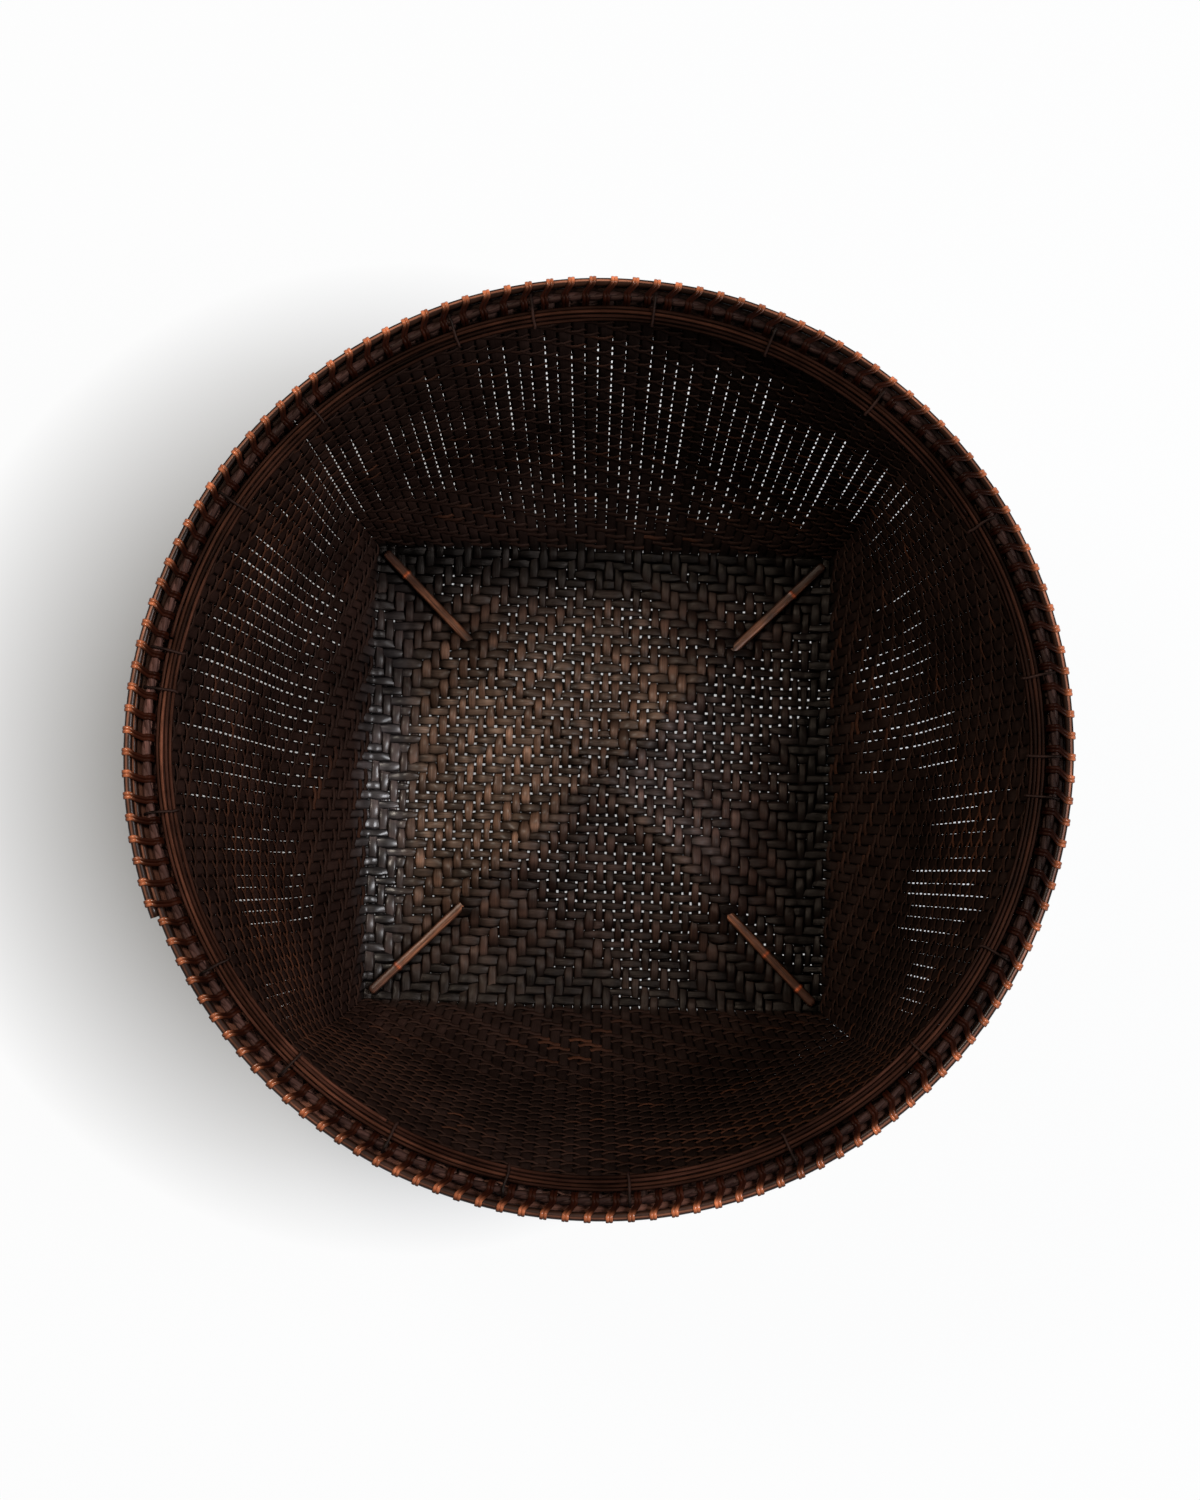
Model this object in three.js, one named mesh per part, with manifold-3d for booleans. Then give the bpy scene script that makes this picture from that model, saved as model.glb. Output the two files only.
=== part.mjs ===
import * as THREE from "three";
import { mergeVertices } from "three/addons/utils/BufferGeometryUtils.js";
import Module from "manifold-3d";

const wasm = await Module();
wasm.setup();

// Sizes in millimetres, Z up, origin at the middle of the underside

// Woven body: square twilled floor turned up into a round flaring wall
const floorSide = 230;
const bodyThickness = 2.4;
const wallEdgeRadius = 199;
const wallEdgeHeight = 205.5;
const facetsPerSide = 17;
const wallRows = 11;
const wallRowPower = 1.15;

// Wall profile from floor edge to rim, as shares of the run outwards and of the height
const profileShares = [
  [0, 0],
  [0.1, 0.03],
  [0.245, 0.08],
  [0.385, 0.145],
  [0.49, 0.23],
  [0.57, 0.36],
  [0.635, 0.477],
  [0.7, 0.594],
  [0.805, 0.76],
  [1, 1],
];

// Raised X of the floor, where the weave is stretched over the crossed slats, and sags between them
const floorRise = 11.5;
const ridgeReach = 74.5;
const ridgeHalfWidth = 15;
const ridgePower = 6;
const sagShare = 0.55;
const sagReach = 88;
const sagPower = 1.5;
const ridgeFade = 13;

// Curl of the floor's edge, and the flat band inside it that the basket stands on
const edgeCurl = 2;
const edgeCurlWidth = 13.5;
const bandWidth = 14;

// Diagonal slats: bowed strips of split cane with raised nodes
const slatWidth = 4.6;
const slatThickness = 2.4;
const slatHalfSpan = 111;
const slatNodeSwell = 0.5;
const slatNodeHalfLength = 1.6;
const slatOutlineShares = [
  [1, -0.5],
  [0.7, 1],
  [-0.7, 1],
  [-1, -0.5],
  [-0.6, -1],
  [0.6, -1],
];
const upperSlatNodeShares = [-0.88, -0.36, 0.3, 0.86];
const lowerSlatNodeShares = [-0.9, -0.42, 0.2, 0.78, 0.93];
const slatSteps = 12;

// Hoop: main rod with a long scarfed overlap, and a second rod against the wall
const hoopRodDiameter = 4;
const innerRodDiameter = 4;
const innerRodDrop = 2;
const hoopRodLift = 2.6;
const overlapStep = 3.2;
const overlapFacets = 8;
const overlapStartFacet = 47;
const scarfEndFacets = 2;
const rodSides = 6;

// Border strand on the wall's edge
const borderDiameter = 4;
const borderStandOut = 0.5;

// Inner bundle of thin splints, from the wall inwards
const splintDiameter = 1.6;
const splintLevelShares = [0.5, 1, 0.5, -0.1];
const splintSides = 4;
const splintButt = 1;
const splintButtTurnShares = [0.4663, 0.8757, 0.0932, 0.6729];

// Cane lashing: strands wound one after the other round hoop, wall edge and border
const lashingStrands = 8;
const wrapsPerStrand = 17;
const lashingWidth = 3.5;
const lashingThickness = 0.7;
const lashingFacetShare = 0.25;
const hoopCorners = [-40, 40];
const borderCorners = [50, 140];

// Ties that hold the bundle to the wall's edge
const tieWidth = 1.4;
const tieThickness = 0.7;
const tieBorderCorners = [0, 75];
const tieBundleCorners = [125, 230];
const tieTurnShares = [
  0.0008, 0.0311, 0.0917, 0.1425, 0.1964, 0.2417, 0.2847, 0.3067, 0.3619, 0.4122, 0.4664, 0.4836, 0.5306,
  0.5822, 0.6342, 0.6736, 0.7189, 0.7683, 0.8233, 0.8772, 0.9278, 0.98,
];

// Clearance between pieces that touch, and the seam in the weave that lashings and ties go through
const clearance = 0.3;
const seamDrop = 8.8;
const seamHeight = 2.4;
const cutOverrun = 6;

const halfFloor = floorSide / 2;
const bandOutside = halfFloor - edgeCurlWidth;
const bandInside = bandOutside - bandWidth;
const facets = facetsPerSide * 4;
const facetTurn = (Math.PI * 2) / facets;
const wrapsPerFacet = (lashingStrands * wrapsPerStrand) / facets;
const bodyHalf = bodyThickness / 2;

// Materials, from the photograph
const cane = (color, roughness) => new THREE.MeshStandardMaterial({ color, roughness, metalness: 0 });
const weaveFinish = cane(0x3a2a1f, 0.55);
const slatFinish = cane(0x8a5330, 0.45);
const hoopFinish = cane(0x6b4a2e, 0.45);
const darkFinish = cane(0x2c1d18, 0.6);
const splintFinish = cane(0x5d3c28, 0.5);
const lashingFinish = cane(0xa8643c, 0.4);
const tieFinish = cane(0x4a3020, 0.55);

const basket = new THREE.Group();

// Triangles collected into one closed surface
class Surface {
  constructor() {
    this.positions = [];
  }
  triangle(a, b, c) {
    [a, b, c].forEach((p) => this.positions.push(p.x, p.y, p.z));
  }
  quad(a, b, c, d) {
    this.triangle(a, b, c);
    this.triangle(a, c, d);
  }
  geometry() {
    const soup = new THREE.BufferGeometry();
    soup.setAttribute("position", new THREE.Float32BufferAttribute(this.positions, 3));
    return mergeVertices(soup, 1e-3);
  }
}

// Tube through a row of sections, each a ring of points seen anticlockwise from ahead
function sweep(sections, closed = false) {
  const surface = new Surface();
  const sides = sections[0].length;
  const spans = closed ? sections.length : sections.length - 1;
  for (let i = 0; i < spans; i += 1) {
    const near = sections[i];
    const far = sections[(i + 1) % sections.length];
    for (let j = 0; j < sides; j += 1) {
      const next = (j + 1) % sides;
      surface.quad(near[j], near[next], far[next], far[j]);
    }
  }
  if (!closed) {
    const first = sections[0];
    const last = sections[sections.length - 1];
    for (let j = 1; j < sides - 1; j += 1) {
      surface.triangle(first[0], first[j + 1], first[j]);
      surface.triangle(last[0], last[j], last[j + 1]);
    }
  }
  return surface.geometry();
}

function addPiece(name, geometry, finish) {
  geometry.computeVertexNormals();
  const mesh = new THREE.Mesh(geometry, finish);
  mesh.name = name;
  basket.add(mesh);
}

// Solids for cuts
function solidOf(geometry) {
  const bare = geometry.clone();
  bare.deleteAttribute("normal");
  bare.deleteAttribute("uv");
  const merged = mergeVertices(bare, 1e-3);
  return new wasm.Manifold(
    new wasm.Mesh({
      numProp: 3,
      vertProperties: new Float32Array(merged.attributes.position.array),
      triVerts: new Uint32Array(merged.index.array),
    }),
  );
}

function geometryOf(solid) {
  const mesh = solid.getMesh();
  const geometry = new THREE.BufferGeometry();
  geometry.setAttribute("position", new THREE.BufferAttribute(mesh.vertProperties, 3));
  geometry.setIndex(new THREE.BufferAttribute(mesh.triVerts, 1));
  return geometry;
}

// Middle surface of the wall: each stake starts on the square floor edge and ends on the round rim
const rowShares = Array.from({ length: wallRows + 1 }, (_, k) => (k / wallRows) ** wallRowPower);
const profile = new THREE.SplineCurve(profileShares.map(([run, rise]) => new THREE.Vector2(run, rise)));

function wallPoint(facet, share) {
  const side = Math.floor(facet / facetsPerSide);
  const along = ((facet - side * facetsPerSide) / facetsPerSide) * 2 - 1;
  const flare = profile.getPoint(share);
  const start = new THREE.Vector3(halfFloor, halfFloor * along, 0);
  const turn = (Math.PI / 4) * along;
  const end = new THREE.Vector3(Math.cos(turn), Math.sin(turn), 0).multiplyScalar(wallEdgeRadius);
  const point = start.lerp(end, flare.x);
  const foot = bodyHalf + edgeCurl;
  point.z = foot + (wallEdgeHeight - foot) * flare.y;
  return point.applyAxisAngle(new THREE.Vector3(0, 0, 1), (side * Math.PI) / 2);
}

// Direction across the wall, towards the inside of the basket
function wallInward(facet, share) {
  if (share === 0) return new THREE.Vector3(0, 0, 1);
  const reach = 1 / wallRows / 4;
  const low = Math.max(share - reach, 0);
  const high = Math.min(share + reach, 1);
  const along = wallPoint(facet + 0.5, share).sub(wallPoint(facet - 0.5, share));
  const up = wallPoint(facet, high).sub(wallPoint(facet, low));
  return up.cross(along).normalize();
}

// Height of the floor above its flat band
function floorLift(x, y) {
  const far = Math.max(Math.abs(x), Math.abs(y));
  const near = Math.min(Math.abs(x), Math.abs(y));
  const alongRidge = (far + near) / 2;
  const offRidge = (far - near) / Math.SQRT2 / ridgeHalfWidth;
  const ridge = floorRise * Math.max(1 - (alongRidge / ridgeReach) ** ridgePower, 0);
  const sag = floorRise * sagShare * Math.max(1 - (far / sagReach) ** 2, 0) ** sagPower;
  const fade = THREE.MathUtils.clamp((bandInside - far) / ridgeFade, 0, 1);
  const curl = edgeCurl * (Math.max(far - bandOutside, 0) / (halfFloor - bandOutside)) ** 2;
  return (sag + (ridge - sag) / (1 + offRidge ** 2)) * fade + curl;
}

function floorPoint(column, row, side) {
  const x = -halfFloor + (column * floorSide) / facetsPerSide;
  const y = -halfFloor + (row * floorSide) / facetsPerSide;
  return new THREE.Vector3(x, y, bodyHalf + floorLift(x, y) + side * bodyHalf);
}

function bodyGeometry() {
  const surface = new Surface();
  // The floor's cells are split along the ridge that they lie on
  for (let i = 0; i < facetsPerSide; i += 1) {
    for (let j = 0; j < facetsPerSide; j += 1) {
      const corners = [
        [i, j],
        [i + 1, j],
        [i + 1, j + 1],
        [i, j + 1],
      ];
      const falling = i < facetsPerSide / 2 !== j < facetsPerSide / 2;
      const order = falling ? [...corners.slice(1), corners[0]] : corners;
      surface.quad(...order.map(([c, r]) => floorPoint(c, r, 1)));
      surface.quad(...order.map(([c, r]) => floorPoint(c, r, -1)).reverse());
    }
  }
  const shell = (facet, share, side) =>
    wallPoint(facet, share).addScaledVector(wallInward(facet, share), side * bodyHalf);
  for (let f = 0; f < facets; f += 1) {
    for (let k = 0; k < wallRows; k += 1) {
      const low = rowShares[k];
      const high = rowShares[k + 1];
      surface.quad(shell(f, low, -1), shell(f + 1, low, -1), shell(f + 1, high, -1), shell(f, high, -1));
      surface.quad(shell(f + 1, low, 1), shell(f, low, 1), shell(f, high, 1), shell(f + 1, high, 1));
    }
    surface.quad(shell(f, 1, -1), shell(f + 1, 1, -1), shell(f + 1, 1, 1), shell(f, 1, 1));
  }
  return surface.geometry();
}

// Places round the rim: facet 0 begins at the corner between the front and the right side
const rimCorner = -Math.PI / 4;

function onRing(radius, height, facet) {
  const whole = Math.floor(facet);
  const corner = (index) => {
    const turn = rimCorner + index * facetTurn;
    return new THREE.Vector3(Math.cos(turn) * radius, Math.sin(turn) * radius, height);
  };
  return corner(whole).lerp(corner(whole + 1), facet - whole);
}

const facetOfTurn = (share) => share * facets + facets / 8;

// Edge of the wall seen in section, as a point (radius, height) and its two directions
const edge = new THREE.Vector2(wallEdgeRadius, wallEdgeHeight);

function upWall(facet) {
  const below = wallPoint(facet, rowShares[wallRows - 1]);
  return new THREE.Vector2(edge.x - Math.hypot(below.x, below.y), edge.y - below.z).normalize();
}

// The wall leans out most at the middle of a side and least at a corner
const leaning = upWall(facetsPerSide / 2);
const upright = upWall(0);

function fromEdge(out, up) {
  const along = out < 0 ? leaning : upright;
  const outward = new THREE.Vector2(along.y, -along.x);
  return edge.clone().addScaledVector(outward, out).addScaledVector(along, up);
}

// Centres of the rods and strands of the rim, stacked outwards from the wall
const tieRoom = tieThickness + 2 * clearance;
const innerRod = fromEdge(bodyHalf + tieRoom + innerRodDiameter / 2, -innerRodDrop);
const rodSpacing = (innerRodDiameter + hoopRodDiameter) / 2 + clearance;
const hoopRod = new THREE.Vector2(
  innerRod.x + Math.sqrt(rodSpacing ** 2 - hoopRodLift ** 2),
  innerRod.y + hoopRodLift,
);
const border = fromEdge(borderStandOut, borderDiameter / 2 + clearance);

// Corners of a strand bent round a rod, at two angles, so that it stays its reach away between them
function bentRound(centre, reach, corners) {
  const half = THREE.MathUtils.degToRad(corners[1] - corners[0]) / 2;
  return corners.map((degrees) => {
    const arm = new THREE.Vector2(reach / Math.cos(half), 0);
    return arm.rotateAround(new THREE.Vector2(), THREE.MathUtils.degToRad(degrees)).add(centre);
  });
}

// Corners of a lashing's turn: round the hoop, over the border, and inside and outside the seam
const lashingReach = clearance + lashingThickness / 2;
const overHoop = bentRound(hoopRod, hoopRodDiameter / 2 + lashingReach, hoopCorners);
const overBorder = bentRound(border, borderDiameter / 2 + lashingReach, borderCorners);
const inside = fromEdge(-(bodyHalf + lashingReach), -seamDrop);
const outside = fromEdge(bodyHalf + lashingReach + lashingThickness + clearance, -seamDrop);

// The bundle lies against the inner leg of the lashings, each splint against the one before it
const splints = [];
splintLevelShares.forEach((level) => {
  const height = edge.y + level * splintDiameter;
  const before = splints[splints.length - 1];
  const spacing = splintDiameter + clearance;
  const leg = inside.clone().lerp(overBorder[1], (height - inside.y) / (overBorder[1].y - inside.y));
  const radius = before
    ? before.x - Math.sqrt(spacing ** 2 - (height - before.y) ** 2)
    : leg.x - lashingReach - splintDiameter / 2;
  splints.push(new THREE.Vector2(radius, height));
});

// How far the hoop's outer end stands off where it overlaps the pared inner end
function overlapOffset(facet) {
  const from = overlapStartFacet - overlapFacets;
  const share = (facet - from) / overlapFacets;
  return share < 0 || share > 1 ? 0 : overlapStep * share;
}

// Section of a rod that runs round the rim
function rodSection(facet, centre, widthOut, widthUp, sides) {
  return Array.from({ length: sides }, (_, j) => {
    const turn = ((j + 0.5) * Math.PI * 2) / sides;
    const radius = centre.x + (widthOut / 2) * Math.cos(turn);
    return onRing(radius, centre.y + (widthUp / 2) * Math.sin(turn), facet);
  });
}

function closedRod(centre, diameter, sides) {
  const sections = Array.from({ length: facets }, (_, f) =>
    rodSection(facets - f, centre, diameter, diameter, sides),
  );
  return sweep(sections, true);
}

// Main hoop rod: its square end lies outside, its other end is pared away underneath it
function hoopGeometry() {
  const sections = [];
  const last = overlapStartFacet - facets - overlapFacets + scarfEndFacets;
  for (let f = overlapStartFacet; f >= last; f -= 1) {
    const under = f <= overlapStartFacet - facets;
    const room = under ? overlapOffset(f + facets) - clearance : hoopRodDiameter;
    const width = Math.min(room, hoopRodDiameter);
    const standOff = under ? (width - hoopRodDiameter) / 2 : overlapOffset(f);
    const centre = new THREE.Vector2(hoopRod.x + standOff, hoopRod.y);
    sections.push(rodSection(f, centre, width, (hoopRodDiameter + width) / 2, rodSides));
  }
  return sweep(sections);
}

// Splint whose two ends butt under a tie
function splintGeometry(centre, buttShare) {
  const middle = Math.floor(facetOfTurn(buttShare)) + 0.5;
  const halfGap = splintButt / 2 / (centre.x * facetTurn);
  const stations = [middle - halfGap];
  for (let f = Math.floor(middle); f > middle - facets; f -= 1) stations.push(f);
  stations.push(middle - facets + halfGap);
  return sweep(stations.map((f) => rodSection(f, centre, splintDiameter, splintDiameter, splintSides)));
}

// Flat strand along points round the rim, each with its facet and its place in section
function strandGeometry(points, width, thickness, closed = false) {
  const count = points.length;
  const sections = points.map(([facet, place], i) => {
    const before = points[closed ? (i + count - 1) % count : Math.max(i - 1, 0)][1];
    const after = points[closed ? (i + 1) % count : Math.min(i + 1, count - 1)][1];
    const arriving = place.clone().sub(before).normalize();
    const leaving = after.clone().sub(place).normalize();
    const heading = arriving.clone().add(leaving).normalize();
    const bend = Math.max(heading.dot(leaving.lengthSq() > 0 ? leaving : arriving), 0.5);
    const outward = new THREE.Vector2(-heading.y, heading.x).multiplyScalar(thickness / 2 / bend);
    const outer = place.clone().add(outward);
    const inner = place.clone().sub(outward);
    const outerMiddle = onRing(outer.x, outer.y, facet);
    const innerMiddle = onRing(inner.x, inner.y, facet);
    const turn = rimCorner + facet * facetTurn;
    const along = new THREE.Vector3(-Math.sin(turn), Math.cos(turn), 0).multiplyScalar(width / 2);
    return [
      outerMiddle.clone().add(along),
      outerMiddle.clone().sub(along),
      innerMiddle.clone().sub(along),
      innerMiddle.clone().add(along),
    ];
  });
  return sweep(sections, closed);
}

// One lashing strand: over the hoop, across to the border, down inside and out through the seam
function lashingPoints(firstWrap) {
  const points = [[firstWrap / wrapsPerFacet - lashingFacetShare, outside]];
  for (let wrap = firstWrap; wrap < firstWrap + wrapsPerStrand; wrap += 1) {
    const facet = wrap / wrapsPerFacet;
    const standOff = new THREE.Vector2(overlapOffset(facet % facets), 0);
    overHoop.forEach((place) => points.push([facet, place.clone().add(standOff)]));
    [...overBorder, inside].forEach((place) => points.push([facet + lashingFacetShare, place]));
    if (wrap < firstWrap + wrapsPerStrand - 1) points.push([facet + lashingFacetShare, outside]);
  }
  return points;
}

// Least gap between neighbouring turns of a strand, measured on the points of its middle line
function leastGap(points) {
  const turnPoints = overHoop.length + overBorder.length + 2;
  const steps = 8;
  const spots = [];
  points.slice(1).forEach(([facet, place], i) => {
    const [facetBefore, placeBefore] = points[i];
    for (let step = 0; step < steps; step += 1) {
      const spot = placeBefore.clone().lerp(place, step / steps);
      const at = THREE.MathUtils.lerp(facetBefore, facet, step / steps);
      spots.push([i + step / steps, onRing(spot.x, spot.y, at)]);
    }
  });
  let least = Infinity;
  spots.forEach(([at, spot]) => {
    spots.forEach(([otherAt, other]) => {
      if (otherAt - at > turnPoints / 2) least = Math.min(least, spot.distanceTo(other));
    });
  });
  return least - Math.hypot(lashingWidth, lashingThickness);
}

// One tie: up between wall and hoop, over border and bundle, and back in through the seam
const tieReach = clearance + tieThickness / 2;
const tieLoop = [
  fromEdge(bodyHalf + tieReach, -seamDrop),
  fromEdge(bodyHalf + tieReach, 0),
  ...bentRound(border, borderDiameter / 2 + tieReach, tieBorderCorners),
  ...bentRound(splints[splints.length - 1], splintDiameter / 2 + tieReach, tieBundleCorners),
  fromEdge(-(bodyHalf + tieReach), -seamDrop),
];

// Height of a slat's middle along its half span, from corner to crossing
const slatSeat = bodyThickness + floorLift(slatHalfSpan, slatHalfSpan) + clearance + slatThickness / 2;
const upperCrossing = floorRise - clearance - slatThickness / 2;
const lowerCrossing = upperCrossing - slatThickness - clearance;

function slatGeometry(diagonal, crossing, nodeShares, extra) {
  const shares = Array.from({ length: slatSteps + 1 }, (_, i) => [(2 * i) / slatSteps - 1, 0]);
  const nodeShare = slatNodeHalfLength / (slatHalfSpan * Math.SQRT2);
  nodeShares.forEach((share) => {
    shares.push([share - nodeShare, 0], [share, slatNodeSwell], [share + nodeShare, 0]);
  });
  shares.sort((a, b) => a[0] - b[0]);
  const across = new THREE.Vector3(Math.cos(diagonal + Math.PI / 2), Math.sin(diagonal + Math.PI / 2), 0);
  const sections = shares.map(([share, swell]) => {
    const reach = share * slatHalfSpan * Math.SQRT2;
    const bow = 0.5 + 0.5 * Math.cos(Math.PI * share);
    const height = slatSeat + (crossing - slatSeat) * bow;
    const middle = new THREE.Vector3(Math.cos(diagonal) * reach, Math.sin(diagonal) * reach, height);
    const halfWidth = slatWidth / 2 + swell + extra;
    const halfThickness = slatThickness / 2 + extra;
    const corner = (out, up) =>
      middle
        .clone()
        .addScaledVector(across, out * halfWidth)
        .add(new THREE.Vector3(0, 0, up * halfThickness));
    return slatOutlineShares.map(([out, up]) => corner(out, up));
  });
  return sweep(sections);
}

const slats = [
  ["diagonal_slat_upper", Math.PI / 4, upperCrossing, upperSlatNodeShares],
  ["diagonal_slat_lower", -Math.PI / 4, lowerCrossing, lowerSlatNodeShares],
];

// The body, cut for the slats and for the seam that lashings and ties go through
let body = solidOf(bodyGeometry());
slats.forEach(([, diagonal, crossing, nodeShares]) => {
  body = body.subtract(solidOf(slatGeometry(diagonal, crossing, nodeShares, clearance)));
});
const seam = fromEdge(0, -seamDrop);
const facetWidth = seam.x * facetTurn;
const seamWidth = facetWidth * 2 * lashingFacetShare + lashingWidth + 2 * clearance;
for (let f = 0; f < facets; f += 1) {
  const slit = new THREE.BoxGeometry(bodyThickness + cutOverrun, seamWidth, seamHeight);
  slit.rotateZ(rimCorner + (f + 0.5) * facetTurn);
  const middle = onRing(seam.x, seam.y, f + 0.5);
  slit.translate(middle.x, middle.y, middle.z);
  body = body.subtract(solidOf(slit));
}
addPiece("woven_body", geometryOf(body), weaveFinish);

slats.forEach(([name, diagonal, crossing, nodeShares]) => {
  addPiece(name, slatGeometry(diagonal, crossing, nodeShares, 0), slatFinish);
});

addPiece("hoop_rod_main", hoopGeometry(), hoopFinish);
addPiece("hoop_rod_inner", closedRod(innerRod, innerRodDiameter, 6), darkFinish);
addPiece("border_strand", closedRod(border, borderDiameter, 6), darkFinish);

splints.forEach((centre, i) => {
  addPiece("rim_splint_" + (i + 1), splintGeometry(centre, splintButtTurnShares[i]), splintFinish);
});

const lashings = Array.from({ length: lashingStrands }, (_, s) => lashingPoints(s * wrapsPerStrand));
const gaps = lashings.map((points) => leastGap(points).toFixed(2));
console.log("least gap of each lashing strand to itself, in mm: " + gaps.join(", "));
lashings.forEach((points, s) => {
  const geometry = strandGeometry(points, lashingWidth, lashingThickness);
  addPiece("lashing_strand_" + (s + 1), geometry, lashingFinish);
});

tieTurnShares.forEach((share, i) => {
  const facet = Math.floor(facetOfTurn(share)) + 0.5;
  const points = tieLoop.map((place) => [facet, place]);
  const name = "bundle_tie_" + String(i + 1).padStart(2, "0");
  addPiece(name, strandGeometry(points, tieWidth, tieThickness, true), tieFinish);
});

export default basket;
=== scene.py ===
import math

import bmesh
import bpy
import numpy as np
from mathutils import Matrix, Quaternion, Vector


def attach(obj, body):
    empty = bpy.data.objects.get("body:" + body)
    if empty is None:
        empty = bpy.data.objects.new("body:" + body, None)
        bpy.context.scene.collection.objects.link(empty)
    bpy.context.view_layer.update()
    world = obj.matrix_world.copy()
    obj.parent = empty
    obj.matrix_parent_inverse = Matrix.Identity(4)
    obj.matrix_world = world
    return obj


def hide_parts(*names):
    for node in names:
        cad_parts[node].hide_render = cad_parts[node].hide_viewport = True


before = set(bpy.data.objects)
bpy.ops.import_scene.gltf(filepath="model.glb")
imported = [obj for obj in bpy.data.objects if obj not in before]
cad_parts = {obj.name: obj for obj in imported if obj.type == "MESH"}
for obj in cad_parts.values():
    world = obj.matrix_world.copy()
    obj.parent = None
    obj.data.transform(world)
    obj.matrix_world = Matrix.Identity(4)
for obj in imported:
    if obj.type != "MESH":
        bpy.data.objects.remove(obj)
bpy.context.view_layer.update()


# The view. The basket is looked at from almost straight above, a little from its front side, at about
# 1.4 m from the rim, with the picture's upper side turned slightly to the left.
mouth_middle = Vector((0.0, 0.0, 0.2055))
camera = bpy.data.objects.new("camera", bpy.data.cameras.new("camera"))
bpy.context.collection.objects.link(camera)
camera.data.lens = 75.6
camera.data.sensor_width = 36.0
camera.location = (-0.0056, -0.1169, 1.5879)
camera.rotation_mode = "QUATERNION"
lean, tilt, roll = (math.radians(angle) for angle in (-0.218, 4.72, 1.663))
camera.rotation_quaternion = (
    Quaternion((0, 1, 0), lean) @ Quaternion((1, 0, 0), tilt) @ Quaternion((0, 0, 1), roll)
)
bpy.context.scene.camera = camera
bpy.context.scene.view_settings.view_transform = "Standard"


# The table and the light. A white table top carries the basket and keeps its shadow near the basket's left;
# elsewhere its glow for the camera is painted light over that shadow, and under the basket it is a painted
# shade that shows grey through the gaps of the weave. One wide soft lamp stands high on the right, a weaker one
# at the back left, and a pale room fills the rest.
class Wire:
    """A socket of a material's nodes, with arithmetic."""

    def __init__(self, tree, socket=None):
        self.tree = tree
        self.socket = socket

    def node(self, kind, settings=None, inputs=None, output=0):
        made = self.tree.nodes.new(kind)
        for name, value in (settings or {}).items():
            setattr(made, name, value)
        for name, value in (inputs or {}).items():
            if isinstance(value, Wire):
                self.tree.links.new(value.socket, made.inputs[name])
            else:
                made.inputs[name].default_value = value
        return Wire(self.tree, made.outputs[output] if len(made.outputs) else None)

    def math(self, operation, first, second=0.0, third=0.0):
        return self.node("ShaderNodeMath", {"operation": operation}, {0: first, 1: second, 2: third})

    def __add__(self, other):
        return self.math("ADD", self, other)

    __radd__ = __add__

    def __sub__(self, other):
        return self.math("SUBTRACT", self, other)

    def __rsub__(self, other):
        return self.math("SUBTRACT", other, self)

    def __mul__(self, other):
        return self.math("MULTIPLY", self, other)

    __rmul__ = __mul__

    def step(self, low, high):
        return self.node(
            "ShaderNodeMapRange", {"interpolation_type": "SMOOTHSTEP"}, {0: self, 1: low, 2: high}
        )

    def distance(self, spot):
        return self.node("ShaderNodeVectorMath", {"operation": "DISTANCE"}, {0: self, 1: spot}, output="Value")


def tree_of(owner):
    """The emptied node tree of a material or world."""
    owner.use_nodes = True
    owner.node_tree.nodes.clear()
    return Wire(owner.node_tree)


basket_middle, basket_reach = (0.0, 0.017, 0.0), (0.206, 0.240)
shadow_middle, shadow_reach = (-0.1, 0.01, 0.0), (0.14, 0.252)
open_table_glow = 0.955
left_glow, middle_glow, glow_drop = 0.20, 0.46, 0.08
table_top = bpy.data.materials.new("table_top")
wire = tree_of(table_top)
place = wire.node("ShaderNodeTexCoord", output="Object")
seen = wire.node("ShaderNodeLightPath", output="Is Camera Ray")
beneath = 1 - place.distance(basket_middle).step(*basket_reach)
# Painted light: away from the basket's left side the glow whitens the table over its real shadow
around_shadow = wire.node("ShaderNodeMapRange", {}, {
    "Value": place.distance(shadow_middle), "From Min": shadow_reach[0], "From Max": shadow_reach[1],
    "To Max": open_table_glow})
across = wire.node("ShaderNodeSeparateXYZ", inputs={"Vector": place}, output="X")
# Painted shade: what shows through the gaps glows less on the left, where the basket's own shadow lies, and a
# little less on the right
seen_through = wire.node("ShaderNodeMapRange", {}, {
    "Value": across, "From Min": -0.17, "From Max": -0.02, "To Min": left_glow, "To Max": middle_glow})
seen_through = seen_through - glow_drop * across.step(0.08, 0.18)
glow = around_shadow * (1 - beneath) + seen_through * beneath
diffuse = wire.node("ShaderNodeBsdfDiffuse", inputs={"Color": (0.62, 0.66, 0.71, 1)})
white = wire.node("ShaderNodeEmission", inputs={"Color": (1, 1, 1, 1), "Strength": 1.0})
both = wire.node("ShaderNodeMixShader", inputs={0: glow * seen, 1: diffuse, 2: white})
wire.node("ShaderNodeOutputMaterial", inputs={"Surface": both})

form = bmesh.new()
bmesh.ops.create_grid(form, x_segments=2, y_segments=2, size=4.0)
table_mesh = bpy.data.meshes.new("table")
form.to_mesh(table_mesh)
table_mesh.materials.append(table_top)
table = bpy.data.objects.new("table", table_mesh)
bpy.context.collection.objects.link(table)

world = bpy.context.scene.world or bpy.data.worlds.new("room")
bpy.context.scene.world = world
wire = tree_of(world)
seen = wire.node("ShaderNodeLightPath", output="Is Camera Ray")
room = wire.node("ShaderNodeBackground", inputs={"Color": (0.95, 0.95, 1.0, 1), "Strength": 0.09})
backdrop = wire.node("ShaderNodeBackground", inputs={"Color": (1, 1, 1, 1), "Strength": 1.0})
both = wire.node("ShaderNodeMixShader", inputs={0: seen, 1: room, 2: backdrop})
wire.node("ShaderNodeOutputWorld", inputs={"Surface": both})

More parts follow.
